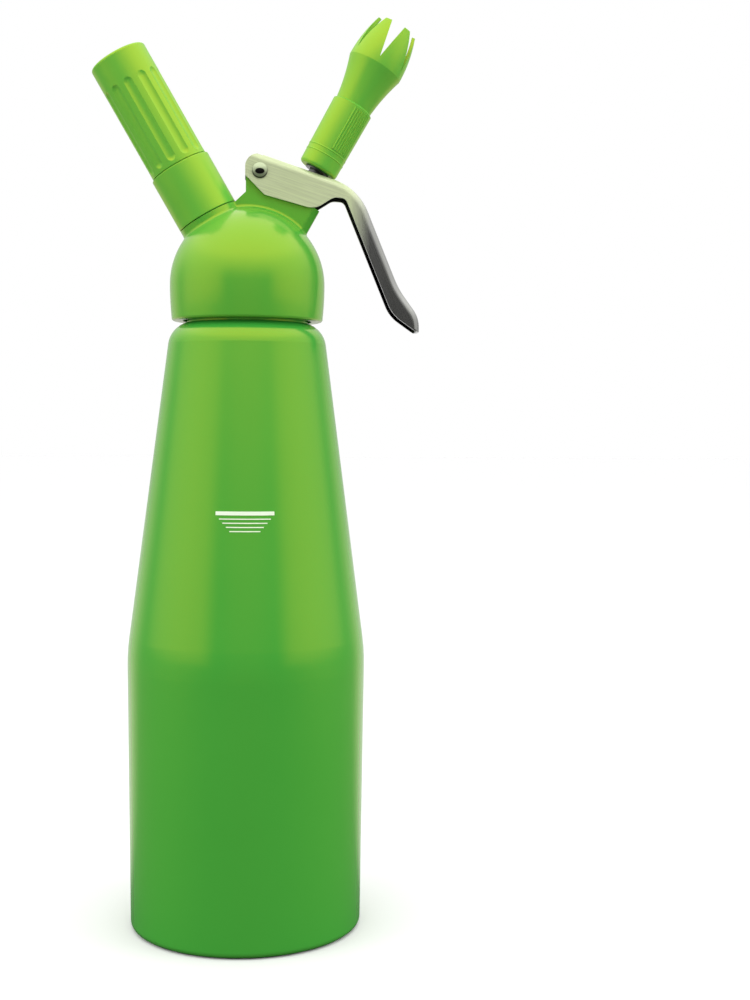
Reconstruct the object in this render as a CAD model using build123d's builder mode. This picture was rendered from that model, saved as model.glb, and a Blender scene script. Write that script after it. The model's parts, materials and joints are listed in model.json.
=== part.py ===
"""A one-litre whipped cream dispenser: bottle, screwed head, charger holder, lever and decorating tip.

Millimetres, +Z up. The origin is the centre of the bottle's foot. The charger holder leans to -X, the decorating
tip and the lever's handle to +X, and -Y is the front.
"""

import os
from math import atan, cos, degrees, pi, radians, sin, sqrt, tan

from build123d import *

os.makedirs("parts", exist_ok=True)

# Fits and gaps
running_fit = 0.06  # radial, a shaft in its bore
thread_gap = 0.4  # radial, from a ridge's crest to the wall it faces
seat_gap = 0.1  # between faces that close on each other
seam_gap = 0.3  # between outer pieces that meet at a visible seam
ridge_sink = 0.2  # how far a thread ridge is rooted in its wall
crest_share = 0.55  # of a thread ridge's width, flat at its crest

# Bottle
base_radius = 45.4
body_radius = 46.6
cone_start = 108.6
cone_angle = 7.5
cone_blend = 80.0
shoulder_height = 237.6
shoulder_round = 10.0
foot_round = 2.5
foot_width = 7.0
dish_depth = 2.2
dish_middle_depth = 1.65
bottle_wall = 1.5
floor_round = 8.0
neck_radius = 23.6
neck_height = 14.8
neck_wall = 1.8
neck_pitch = 4.0
neck_ridge = 1.0
neck_ridge_width = 1.4
neck_thread_length = 10.0

# Head
rim_radius = 29.3
head_radius = 30.1
dome_rise = 14.1  # from the rim up to the dome's centre
gasket_thickness = 2.4
gasket_overhang = 0.8
cavity_radius = 21.0
cavity_height = 7.6
cavity_taper = 15.0
rim_round = 1.0
head_blend = 1.5  # at the roots of both bosses

# Injector side: distances along its axis start where it crosses the bottle's axis
injector_angle = 30.0
injector_drop = 0.3  # crossing, below the dome's centre
injector_seam = 30.6
socket_radius = 9.0
socket_depth = 11.2
gas_channel_radius = 1.5
spigot_radius = 9.6
spigot_length = 13.3
holder_pitch = 3.0
holder_ridge = 0.9
holder_ridge_width = 1.0
holder_thread_start = 2.3
holder_thread_length = 8.5
valve_bore_radius = 4.0
pin_seat = 2.6  # from the head's seam face down to the piercing pin's seat
pin_flange_radius = 4.9
pin_flange_thickness = 2.2
pin_radius = 1.1
pin_bore_radius = 0.45
pin_reach = 1.2  # into the pierced charger
pin_point_wall = 0.1
seal_thickness = 2.3
disc_radius = 3.3
disc_thickness = 1.0
disc_travel = 0.8
check_spring_wire = 0.5
check_spring_radius = 2.5
check_spring_turns = 4
retainer_radius = 4.5
retainer_hole_radius = 1.4

# Charger and its holder
charger_length = 65.5
charger_radius = 8.95
charger_wall = 1.6
charger_neck_radius = 4.35
charger_neck_length = 8.5
charger_shoulder_length = 6.0
charger_hole_radius = 1.6
charger_edge_round = 0.8
charger_neck_round = 2.5
charger_shoulder_round = 4.0
charger_clearance = 0.4
sleeve_radius = 12.2
sleeve_length = 21.5
grip_radius = 11.5
grip_end_wall = 1.9
grip_tail_length = 7.5
grip_edge_round = 1.0
grip_groove = 0.5  # between the sleeve and the grip
flute_count = 12
flute_width = 4.0
flute_depth = 0.6
flute_end_margin = 10.7
flute_seam_margin = 1.3
flute_heading = -97.0  # degrees from the holder's X to one flute's middle

# Discharge side: distances along its axis start where it crosses the bottle's axis
nozzle_angle = 29.0
nozzle_drop = 3.7  # crossing, below the dome's centre
boss_top = 42.0
boss_half_width = 8.5  # across the axis, towards +X
boss_wall = 0.8  # beside the spring's pocket
boss_left = -0.75
boss_lean_start = 1.0  # below the pivot, where the left side leans in to the lug
boss_saddle_drop = 8.0  # below the pivot, where the left side spreads to the injector boss
boss_corner_chamfer = 2.5
boss_edge_round = 0.8
seat_height = 22.0
seat_pocket_radius = 7.0
seat_pocket_depth = 12.8
chamber_radius = 4.2
chamber_height = 5.0
spring_floor = 34.0
stem_radius = 3.0
stem_tail_radius = 2.3
stem_bore_radius = 1.4
stem_port_radius = 1.1
stem_collar_radius = 5.0
stem_collar_height = 1.6
valve_seal_radius = 6.2
valve_seal_thickness = 2.4
washer_radius = 5.6
washer_thickness = 1.0
nut_flats = 7.0
nut_height = 3.2
tail_stand_out = 0.8
o_ring_section = 0.9
o_ring_groove = 1.1
o_ring_height = 30.5
spring_wire = 0.9
spring_turns = 7
spring_clearance = 0.25

# Lever: its outline is in a frame at the pivot whose X runs along the web
pivot_x = 4.6
pivot_height = 57.75  # above the head's rim
lever_slope = 18.0
lever_press = 9.0  # degrees of travel
sheet = 1.2
cheek_gap = 0.25
lever_bend = 2.8  # outside, where the web turns into a cheek
channel_bend = 0.8  # inside, tighter so that it clears the head's lug
web_offset = 6.5  # from the pivot to the web's outside
cheek_back = -6.05
cheek_back_top = 0.5
nose_round = 5.4
cheek_back_foot = (-4.8, -3.4)
cheek_heel = (4.6, -8.2)
cheek_toe = (24.6, -7.1)
cheek_neck = (30.2, -0.3)
handle_bend = 38.25
handle_bend_radius = 21.5
handle_drop = 49.6  # degrees from the web to the handle
handle_length = 42.05
handle_depth = 6.35
handle_neck_drop = 2.0
handle_foot_drop = 50.3
handle_kick = 35.7  # degrees from the web to the handle's end
handle_kick_length = 13.7
handle_kick_radius = 35.0
handle_tip_drop = 72.0
handle_tip_length = 5.75
handle_tip_round = 11.6
slot_clearance = 0.4
cheek_rounds = (2.5, 1.0, 1.5, 7.5, 4.0, 2.5, 14.0)  # the cheek's corners, from the back to the handle's end
handle_end_round = 2.2  # seen from above

# Pivot pin
pin_shank_radius = 2.0
pin_head_radius = 3.0
pin_head_edge = 0.35
pin_head_height = 1.3
lug_radius = 4.6
lug_corner = radians(40)  # round the lug from upright, where the boss's left side meets it

# Decorating tip and its adapter
flange_radius = 4.9
flange_thickness = 0.6
adapter_wall = 0.9
adapter_length = 11.0
tip_pitch = 2.5
tip_ridge = 0.7
tip_ridge_width = 0.9
tip_thread_start = 2.2
tip_thread_length = 6.8
tip_radius = 7.8
tip_base_round = 1.2
tip_length = 63.4
tip_ring_height = 28.0
tip_ring_radius = 8.25
tip_waist_radius = 7.45
tip_flare_radius = 11.1
tip_flare_height = 45.8
tip_mouth_radius = 8.2
tip_wall = 1.3
tip_step = 0.6  # height of the step in from the ring
tip_neck_bulge = 0.5  # how far the neck bends in from a straight cone
tip_petal_bulge = 0.8  # how far the petals bend out from one
tip_bore_height = 12.0
tip_bore_cone = 3.0
tip_bead_heights = (5.8, 8.0)
tip_bead_radius = 0.35
tip_bead_height = 0.15  # out of the wall
tip_seal_section = 0.9
petal_count = 6
petal_end_width = 3.0
petal_slot_height = 48.2
rib_groups = 2
rib_count = 8
rib_spacing = 7.5  # degrees
rib_heading = -54.0  # degrees from +X to a group's middle
rib_radius = 0.38
rib_height = 0.3  # out of the wall
rib_start = 8.9
rib_end = 27.2

UP = (Align.CENTER, Align.CENTER, Align.MIN)


def leaning_frame(x, z, angle):
    """A frame in the middle plane whose Z leans by this angle towards +X."""
    lean = radians(angle)
    return Plane(origin=(x, 0, z), x_dir=(cos(lean), 0, -sin(lean)), z_dir=(sin(lean), 0, cos(lean)))


def side_view(frame):
    """The plane through a frame's axis: a sketch's x is the radius and its y the distance along the axis."""
    return Plane(origin=frame.origin, x_dir=frame.x_dir, z_dir=-frame.y_dir)


def turn(outline, frame, mode=Mode.ADD):
    """Revolves an outline of (radius, distance) points round a frame's axis, in the current part."""
    with BuildSketch(side_view(frame)) as section:
        with BuildLine():
            Polyline(*outline, close=True)
        make_face()
    revolve(section.sketch, axis=Axis(frame.origin, frame.z_dir), mode=mode)


def ring(frame, inner, outer, start, end, mode=Mode.ADD):
    """A ring, or a disc where inner is 0, between two distances along a frame's axis."""
    turn([(inner, start), (outer, start), (outer, end), (inner, end)], frame, mode)


def helix_path(frame, radius, start, length, pitch):
    """A right-hand helix round a frame's axis, which begins on the frame's X side."""
    with BuildLine() as path:
        Helix(pitch=pitch, height=length, radius=radius)
    return path.line.moved(frame.offset(start).location)


def thread_ridge(frame, radius, height, start, length, pitch, width):
    """One helical ridge on a wall of this radius. A negative height stands inwards."""
    sink = -ridge_sink if height > 0 else ridge_sink
    crest = width * crest_share
    path = helix_path(frame, radius, start, length, pitch)
    with BuildSketch(Plane(path @ 0, x_dir=frame.x_dir, z_dir=path % 0)) as section:
        with BuildLine():
            Polyline((sink, -width / 2), (height, -crest / 2), (height, crest / 2), (sink, width / 2), close=True)
        make_face()
    sweep(section.sketch, path=path, is_frenet=True)


def coil(frame, radius, wire, start, end, turns):
    """A compression spring's wire, wound between two distances along a frame's axis."""
    rise = end - start - wire
    path = helix_path(frame, radius, start + wire / 2, rise, rise / turns)
    with BuildSketch(Plane(path @ 0, x_dir=frame.x_dir, z_dir=path % 0)) as section:
        Circle(wire / 2)
    sweep(section.sketch, path=path, is_frenet=True)


def lies_along(edge, curve, frame):
    """Whether an edge follows a curve drawn in a frame's sketch plane, seen square to that plane."""
    middle = frame.to_local_coords(edge @ 0.5)
    return curve.distance_to(Vector(middle.X, middle.Y)) < ridge_sink


# Heights and radii that follow from the sizes above
upright = Plane.XY
neck_top = shoulder_height + neck_height
head_rim = shoulder_height + seam_gap
dome_centre = head_rim + dome_rise
head_bore = neck_radius + neck_ridge + thread_gap
ledge_height = neck_top + gasket_thickness + 2 * seat_gap
nozzle = leaning_frame(0, dome_centre - nozzle_drop, nozzle_angle)
injector = leaning_frame(0, dome_centre - injector_drop, -injector_angle)
pivot_z = head_rim + pivot_height
shoulder_corner = body_radius - (shoulder_height - cone_start) * tan(radians(cone_angle))


def nozzle_point(across, along):
    """World (x, z) of a point given across and along the nozzle's axis."""
    point = nozzle.from_local_coords((across, 0, along))
    return point.X, point.Z


# Bottle: turned shell with a dished foot and a threaded neck
with BuildPart() as bottle:
    with BuildSketch(Plane.XZ):
        with BuildLine():
            FilletPolyline(
                (base_radius - foot_width, 0),
                (base_radius, 0),
                (body_radius, cone_start),
                (shoulder_corner, shoulder_height),
                (0, shoulder_height),
                radius=[foot_round, cone_blend, shoulder_round],
            )
            Line((0, shoulder_height), (0, dish_depth))
            ThreePointArc(
                (0, dish_depth),
                ((base_radius - foot_width) / 2, dish_middle_depth),
                (base_radius - foot_width, 0),
            )
        make_face()
    revolve(axis=Axis.Z)
    with BuildSketch(Plane.XY.offset(shoulder_height - shoulder_round)):
        Circle(neck_radius)
    extrude(amount=shoulder_round + neck_height)
    with BuildSketch(Plane.XZ):
        with BuildLine():
            FilletPolyline(
                (0, dish_depth + bottle_wall),
                (base_radius - bottle_wall, dish_depth + bottle_wall),
                (body_radius - bottle_wall, cone_start),
                (shoulder_corner - bottle_wall, shoulder_height - bottle_wall),
                (0, shoulder_height - bottle_wall),
                radius=[floor_round, cone_blend, shoulder_round - bottle_wall],
            )
            Line((0, shoulder_height - bottle_wall), (0, dish_depth + bottle_wall))
        make_face()
    revolve(axis=Axis.Z, mode=Mode.SUBTRACT)
    with BuildSketch(Plane.XY.offset(shoulder_height - shoulder_round)):
        Circle(neck_radius - neck_wall)
    extrude(amount=shoulder_round + neck_height, mode=Mode.SUBTRACT)
    neck_thread_start = shoulder_height + neck_pitch / 2
    thread_ridge(
        upright, neck_radius, neck_ridge, neck_thread_start, neck_thread_length, neck_pitch, neck_ridge_width
    )
bottle.part.label = "bottle"
export_step(bottle.part, "parts/bottle.step")

# Flat gasket between the bottle's rim and the head's ledge
with BuildPart() as head_gasket:
    ring(
        upright,
        neck_radius - neck_wall - gasket_overhang,
        head_bore - seat_gap,
        neck_top + seat_gap,
        neck_top + seat_gap + gasket_thickness,
    )
head_gasket.part.label = "head_gasket"
export_step(head_gasket.part, "parts/head_gasket.step")

# Sizes on the discharge side that follow from the stem, the spring and the lever
guide_radius = stem_radius + running_fit
spring_radius = stem_radius + spring_clearance + spring_wire / 2
spring_pocket_radius = spring_radius + spring_wire / 2 + spring_clearance
boss_thickness = 2 * (spring_pocket_radius + boss_wall)
channel_width = boss_thickness + 2 * cheek_gap
lever_width = channel_width + 2 * sheet
pivot = nozzle.to_local_coords(Vector(pivot_x, 0, pivot_z))
web_tilt = radians(nozzle_angle - lever_slope)
web_height = pivot.Z + (web_offset - pivot.X * sin(web_tilt)) / cos(web_tilt)
collar_top = web_height - sheet / cos(web_tilt) - stem_collar_radius * tan(web_tilt) - seam_gap
collar_foot = collar_top - stem_collar_height
flange_foot = web_height + flange_radius * tan(web_tilt) + seam_gap
flange_top = flange_foot + flange_thickness
tip_base = flange_top + seat_gap

# Head: a dome with a round injector boss on the left and a flat-sided discharge boss on the right
lug_foot = pivot.X + sqrt(lug_radius**2 - (pivot.Z - boss_top) ** 2)
saddle_foot = injector.from_local_coords((sleeve_radius, 0, injector_seam - seam_gap))
saddle_root = injector.from_local_coords((0, 0, injector_seam - seam_gap))

with BuildPart() as head_shell:
    with BuildSketch(Plane.XZ):
        with BuildLine():
            Polyline(
                (boss_left, dome_centre),
                (saddle_root.X, saddle_root.Z),
                (saddle_foot.X, saddle_foot.Z),
                (boss_left, pivot_z - boss_saddle_drop),
                (boss_left, pivot_z - boss_lean_start),
                (pivot_x - lug_radius * sin(lug_corner), pivot_z + lug_radius * cos(lug_corner)),
                (pivot_x, pivot_z),
                nozzle_point(lug_foot, boss_top),
                nozzle_point(boss_half_width, boss_top),
                nozzle_point(boss_half_width, head_radius / 2),
                close=True,
            )
        make_face()
        with Locations((pivot_x, pivot_z)):
            Circle(lug_radius)
    extrude(amount=boss_thickness / 2, both=True)
    boss_corners = head_shell.edges().filter_by(Axis(nozzle.origin, nozzle.z_dir)).group_by(Axis.X)[-1]
    chamfer(boss_corners, boss_corner_chamfer)
    chamfer_edges = head_shell.edges(Select.LAST).filter_by(Axis(nozzle.origin, nozzle.z_dir))
    fillet(chamfer_edges, boss_edge_round)
    with BuildSketch(injector):
        Circle(sleeve_radius)
    extrude(amount=injector_seam)
    with BuildSketch(Plane.XZ):
        with BuildLine():
            Polyline(
                (0, dome_centre + head_radius),
                (0, head_rim),
                (rim_radius, head_rim),
            )
            Bezier((rim_radius, head_rim), (head_radius, (head_rim + dome_centre) / 2), (head_radius, dome_centre))
            RadiusArc((head_radius, dome_centre), (0, dome_centre + head_radius), -head_radius)
        make_face()
    revolve(axis=Axis.Z)
    dome_edges = head_shell.faces().filter_by(GeomType.SPHERE).edges()
    boss_roots = dome_edges.filter_by(lambda edge: min((edge @ 0).Z, (edge @ 1).Z) > dome_centre + seam_gap)
    injector_wall = head_shell.faces().filter_by(GeomType.CYLINDER).sort_by(Axis.X)[0]
    saddle_roots = injector_wall.edges() & head_shell.faces().filter_by(Axis.Y).edges()
    fillet(boss_roots + saddle_roots, head_blend)
    bottom_rim = head_shell.edges().filter_by(GeomType.CIRCLE).sort_by(Axis.Z)[0]
    fillet(bottom_rim, rim_round)
    with BuildSketch(Plane.XY.offset(head_rim)):
        Circle(head_bore)
    extrude(amount=ledge_height - head_rim, mode=Mode.SUBTRACT)
    with BuildSketch(Plane.XY.offset(ledge_height)):
        Circle(cavity_radius)
    extrude(amount=cavity_height, taper=cavity_taper, mode=Mode.SUBTRACT)
    ring(nozzle, 0, seat_pocket_radius, seat_height - seat_pocket_depth, seat_height, Mode.SUBTRACT)
    ring(nozzle, 0, chamber_radius, seat_height, seat_height + chamber_height, Mode.SUBTRACT)
    ring(nozzle, 0, guide_radius, seat_height, boss_top, Mode.SUBTRACT)
    ring(nozzle, 0, spring_pocket_radius, spring_floor, boss_top + lug_radius, Mode.SUBTRACT)
    ring(injector, 0, socket_radius, injector_seam - socket_depth, injector_seam, Mode.SUBTRACT)
    ring(injector, 0, gas_channel_radius, 0, injector_seam - socket_depth, Mode.SUBTRACT)
    with BuildSketch(Plane.XZ):
        with Locations((pivot_x, pivot_z)):
            Circle(pin_shank_radius)
    extrude(amount=boss_thickness, both=True, mode=Mode.SUBTRACT)
    thread_ridge(
        upright,
        head_bore,
        -neck_ridge,
        neck_thread_start + neck_pitch / 2,
        neck_thread_length - neck_pitch / 2,
        neck_pitch,
        neck_ridge_width,
    )
head_shell.part.label = "head_shell"
export_step(head_shell.part, "parts/head_shell.step")

# Injector: a threaded spigot that holds the piercing pin, its seal and the non-return valve
socket_floor = injector_seam - socket_depth
pin_ledge = injector_seam - pin_seat
pin_top = pin_ledge + pin_flange_thickness
charger_tip = pin_top + seal_thickness + seat_gap
spigot_top = injector_seam + spigot_length
disc_top = pin_ledge - seat_gap
check_spring_length = (check_spring_turns + 2) * check_spring_wire + disc_travel
retainer_top = disc_top - disc_thickness - seat_gap - check_spring_length

with BuildPart() as injector_body:
    turn(
        [
            (retainer_radius, socket_floor),
            (socket_radius, socket_floor),
            (socket_radius, injector_seam),
            (spigot_radius, injector_seam),
            (spigot_radius, spigot_top),
            (charger_radius - seat_gap, spigot_top),
            (pin_flange_radius, spigot_top - charger_shoulder_length),
            (pin_flange_radius, pin_ledge),
            (valve_bore_radius, pin_ledge),
            (valve_bore_radius, retainer_top),
            (retainer_radius, retainer_top),
        ],
        injector,
    )
    thread_ridge(
        injector,
        spigot_radius,
        holder_ridge,
        injector_seam + holder_thread_start,
        holder_thread_length,
        holder_pitch,
        holder_ridge_width,
    )
injector_body.part.label = "injector_body"
export_step(injector_body.part, "parts/injector_body.step")

with BuildPart() as piercing_pin:
    turn(
        [
            (pin_bore_radius, pin_ledge),
            (pin_flange_radius, pin_ledge),
            (pin_flange_radius, pin_top),
            (pin_radius, pin_top),
            (pin_radius, charger_tip),
            (pin_bore_radius + pin_point_wall, charger_tip + pin_reach),
            (pin_bore_radius, charger_tip + pin_reach),
        ],
        injector,
    )
piercing_pin.part.label = "piercing_pin"
export_step(piercing_pin.part, "parts/piercing_pin.step")

with BuildPart() as charger_seal:
    ring(injector, charger_hole_radius, pin_flange_radius, pin_top, pin_top + seal_thickness)
charger_seal.part.label = "charger_seal"
export_step(charger_seal.part, "parts/charger_seal.step")

with BuildPart() as check_disc:
    ring(injector, 0, disc_radius, disc_top - disc_thickness, disc_top)
check_disc.part.label = "check_disc"
export_step(check_disc.part, "parts/check_disc.step")

with BuildPart() as check_spring:
    coil(
        injector,
        check_spring_radius,
        check_spring_wire,
        retainer_top,
        disc_top - disc_thickness - seat_gap,
        check_spring_turns,
    )
check_spring.part.label = "check_spring"
export_step(check_spring.part, "parts/check_spring.step")

with BuildPart() as check_retainer:
    ring(injector, retainer_hole_radius, retainer_radius, socket_floor, retainer_top)
check_retainer.part.label = "check_retainer"
export_step(check_retainer.part, "parts/check_retainer.step")

# Gas charger: a pierced steel capsule with a round far end
charger_end = charger_tip + charger_length
neck_end = charger_tip + charger_neck_length
shoulder_end = neck_end + charger_shoulder_length

with BuildPart() as charger:
    with BuildSketch(side_view(injector)):
        with BuildLine():
            FilletPolyline(
                (0, charger_tip),
                (charger_neck_radius, charger_tip),
                (charger_neck_radius, neck_end),
                (charger_radius, shoulder_end),
                (charger_radius, charger_end - charger_radius),
                radius=[charger_edge_round, charger_neck_round, charger_shoulder_round],
            )
            RadiusArc((charger_radius, charger_end - charger_radius), (0, charger_end), -charger_radius)
            Line((0, charger_end), (0, charger_tip))
        make_face()
    revolve(axis=Axis(injector.origin, injector.z_dir))
    with BuildSketch(side_view(injector)):
        with BuildLine():
            FilletPolyline(
                (0, charger_tip + charger_wall),
                (charger_neck_radius - charger_wall, charger_tip + charger_wall),
                (charger_neck_radius - charger_wall, neck_end + charger_wall),
                (charger_radius - charger_wall, shoulder_end + charger_wall),
                (charger_radius - charger_wall, charger_end - charger_radius),
                radius=[charger_edge_round / 2, charger_neck_round, charger_shoulder_round - charger_wall],
            )
            RadiusArc(
                (charger_radius - charger_wall, charger_end - charger_radius),
                (0, charger_end - charger_wall),
                -(charger_radius - charger_wall),
            )
            Line((0, charger_end - charger_wall), (0, charger_tip + charger_wall))
        make_face()
    revolve(axis=Axis(injector.origin, injector.z_dir), mode=Mode.SUBTRACT)
    ring(injector, 0, charger_hole_radius, charger_tip, charger_tip + 2 * charger_wall, Mode.SUBTRACT)
charger.part.label = "charger"
export_step(charger.part, "parts/charger.step")

# Charger holder: a threaded sleeve with a fluted cup pressed into it
sleeve_bore = spigot_radius + holder_ridge + thread_gap
sleeve_foot = injector_seam + seam_gap
sleeve_top = sleeve_foot + sleeve_length
grip_foot = sleeve_top + grip_groove
grip_bore = charger_radius + charger_clearance
grip_top = charger_end + charger_clearance + grip_end_wall

with BuildPart() as charger_holder_sleeve:
    ring(injector, sleeve_bore, sleeve_radius, sleeve_foot, sleeve_top)
    outer_rims = charger_holder_sleeve.edges().filter_by(GeomType.CIRCLE).group_by(SortBy.RADIUS)[-1]
    fillet(outer_rims, seam_gap)
    thread_ridge(
        injector,
        sleeve_bore,
        -holder_ridge,
        injector_seam + holder_thread_start + holder_pitch / 2,
        holder_thread_length - holder_pitch / 2,
        holder_pitch,
        holder_ridge_width,
    )
charger_holder_sleeve.part.label = "charger_holder_sleeve"
export_step(charger_holder_sleeve.part, "parts/charger_holder_sleeve.step")

flute_radius = (flute_width**2 / 4 + flute_depth**2) / (2 * flute_depth)
flute_foot = grip_foot + flute_seam_margin
flute_top = grip_top - flute_end_margin
with BuildPart() as charger_holder_grip:
    turn(
        [
            (0, grip_foot - grip_tail_length),
            (sleeve_bore, grip_foot - grip_tail_length),
            (sleeve_bore, grip_foot),
            (grip_radius, grip_foot),
            (grip_radius, grip_top),
            (0, grip_top),
        ],
        injector,
    )
    far_rim = charger_holder_grip.edges().filter_by(GeomType.CIRCLE).sort_by(Axis(injector.origin, injector.z_dir))[-1]
    fillet(far_rim, grip_edge_round)
    with BuildSketch(side_view(injector)):
        with BuildLine():
            Polyline(
                (0, charger_end + charger_clearance),
                (0, grip_foot - grip_tail_length),
                (grip_bore, grip_foot - grip_tail_length),
                (grip_bore, charger_end + charger_clearance - grip_bore),
            )
            RadiusArc(
                (grip_bore, charger_end + charger_clearance - grip_bore),
                (0, charger_end + charger_clearance),
                -grip_bore,
            )
        make_face()
    revolve(axis=Axis(injector.origin, injector.z_dir), mode=Mode.SUBTRACT)
    with Locations(injector.offset(flute_foot + flute_width / 2)):
        with PolarLocations(grip_radius - flute_depth + flute_radius, flute_count, flute_heading):
            Cylinder(flute_radius, flute_top - flute_foot - flute_width, align=UP, mode=Mode.SUBTRACT)
            Sphere(flute_radius, mode=Mode.SUBTRACT)
    with Locations(injector.offset(flute_top - flute_width / 2)):
        with PolarLocations(grip_radius - flute_depth + flute_radius, flute_count, flute_heading):
            Sphere(flute_radius, mode=Mode.SUBTRACT)
charger_holder_grip.part.label = "charger_holder_grip"
export_step(charger_holder_grip.part, "parts/charger_holder_grip.step")

# Discharge stem: a hollow rod with a collar under the lever's web and ports above the seat
stem_shoulder = seat_height - seat_gap
seal_foot = stem_shoulder - valve_seal_thickness
washer_foot = seal_foot - washer_thickness
nut_foot = washer_foot - nut_height
adapter_top = flange_foot + adapter_length
o_ring_outside = stem_radius + running_fit / 2
groove_radius = o_ring_outside - o_ring_section

with BuildPart() as valve_stem:
    turn(
        [
            (0, nut_foot - tail_stand_out),
            (stem_tail_radius, nut_foot - tail_stand_out),
            (stem_tail_radius, stem_shoulder),
            (stem_radius, stem_shoulder),
            (stem_radius, o_ring_height - o_ring_groove / 2),
            (groove_radius, o_ring_height - o_ring_groove / 2),
            (groove_radius, o_ring_height + o_ring_groove / 2),
            (stem_radius, o_ring_height + o_ring_groove / 2),
            (stem_radius, collar_foot),
            (stem_collar_radius, collar_foot),
            (stem_collar_radius, collar_top),
            (stem_radius, collar_top),
            (stem_radius, flange_foot),
            (stem_tail_radius, flange_foot),
            (stem_tail_radius, adapter_top),
            (0, adapter_top),
        ],
        nozzle,
    )
    ring(nozzle, 0, stem_bore_radius, seat_height, adapter_top, Mode.SUBTRACT)
    with BuildSketch(Plane.XZ):
        with Locations(nozzle_point(0, seat_height + chamber_height / 2)):
            Circle(stem_port_radius)
    extrude(amount=2 * stem_radius, both=True, mode=Mode.SUBTRACT)
valve_stem.part.label = "valve_stem"
export_step(valve_stem.part, "parts/valve_stem.step")

with BuildPart() as stem_o_ring:
    with BuildSketch(side_view(nozzle)):
        with Locations((o_ring_outside - o_ring_section / 2, o_ring_height)):
            Circle(o_ring_section / 2)
    revolve(axis=Axis(nozzle.origin, nozzle.z_dir))
stem_o_ring.part.label = "stem_o_ring"
export_step(stem_o_ring.part, "parts/stem_o_ring.step")

with BuildPart() as valve_seal:
    ring(nozzle, stem_tail_radius, valve_seal_radius, seal_foot, stem_shoulder)
valve_seal.part.label = "valve_seal"
export_step(valve_seal.part, "parts/valve_seal.step")

with BuildPart() as seal_washer:
    ring(nozzle, stem_tail_radius, washer_radius, washer_foot, seal_foot)
seal_washer.part.label = "seal_washer"
export_step(seal_washer.part, "parts/seal_washer.step")

with BuildPart() as stem_nut:
    with BuildSketch(nozzle.offset(nut_foot)):
        RegularPolygon(nut_flats / 2, 6, major_radius=False)
        Circle(stem_tail_radius, mode=Mode.SUBTRACT)
    extrude(amount=nut_height)
stem_nut.part.label = "stem_nut"
export_step(stem_nut.part, "parts/stem_nut.step")

with BuildPart() as valve_spring:
    coil(nozzle, spring_radius, spring_wire, spring_floor + seat_gap, collar_foot - seat_gap, spring_turns)
valve_spring.part.label = "valve_spring"
export_step(valve_spring.part, "parts/valve_spring.step")

# Adapter: a collar above the lever's web that carries the tip's thread
adapter_radius = stem_tail_radius + adapter_wall
with BuildPart() as tip_adapter:
    turn(
        [
            (stem_tail_radius, flange_foot),
            (flange_radius, flange_foot),
            (flange_radius, flange_top),
            (adapter_radius, flange_top),
            (adapter_radius, adapter_top),
            (stem_tail_radius, adapter_top),
        ],
        nozzle,
    )
    thread_ridge(
        nozzle,
        adapter_radius,
        tip_ridge,
        tip_base + tip_thread_start,
        tip_thread_length,
        tip_pitch,
        tip_ridge_width,
    )
tip_adapter.part.label = "tip_adapter"
export_step(tip_adapter.part, "parts/tip_adapter.step")

# Lever: a bent channel of sheet with two cheeks, a slot for the stem and a long handle
lever_frame = side_view(leaning_frame(pivot_x, pivot_z, lever_slope))
bend = Vector(handle_bend, web_offset)
down_handle = Vector(1, 0).rotate(Axis.Z, -handle_drop)
into_channel = down_handle.rotate(Axis.Z, -90)
kick = bend + down_handle * handle_length
curl = kick + Vector(1, 0).rotate(Axis.Z, -handle_kick) * handle_kick_length
handle_tip = curl + Vector(1, 0).rotate(Axis.Z, -handle_tip_drop) * handle_tip_length
under_tip = handle_tip + Vector(1, 0).rotate(Axis.Z, -handle_tip_drop - 90) * sheet
inner_edge = bend + into_channel * handle_depth
slot_swing = (web_height - pivot.Z) * sin(radians(lever_press))
slot_half_width = stem_radius + slot_clearance
web_start = cheek_back + nose_round

with BuildLine(Plane.XY) as web_line:
    FilletPolyline(
        (web_start, web_offset),
        bend,
        kick,
        curl,
        handle_tip,
        radius=[handle_bend_radius, handle_kick_radius, handle_tip_round],
    )

with BuildPart() as lever_channel:
    with BuildSketch(lever_frame):
        with BuildLine(Plane.XY):
            under_web = offset(web_line.line, amount=sheet, side=Side.RIGHT, closed=False)
            Polyline(
                under_web.wires()[0] @ 1,
                under_tip + into_channel * 3 * handle_depth,
                (cheek_toe[0], 3 * cheek_toe[1]),
                (3 * cheek_back, 3 * cheek_back_foot[1]),
                (3 * cheek_back, 2 * web_offset),
                (web_start, 2 * web_offset),
                under_web.wires()[0] @ 0,
            )
        make_face()
    extrude(amount=channel_width / 2, both=True)
    side_edges = lever_channel.faces().filter_by(Axis.Y).edges()
    fillet(side_edges.filter_by(lambda edge: lies_along(edge, under_web, lever_frame)), channel_bend)

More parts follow.
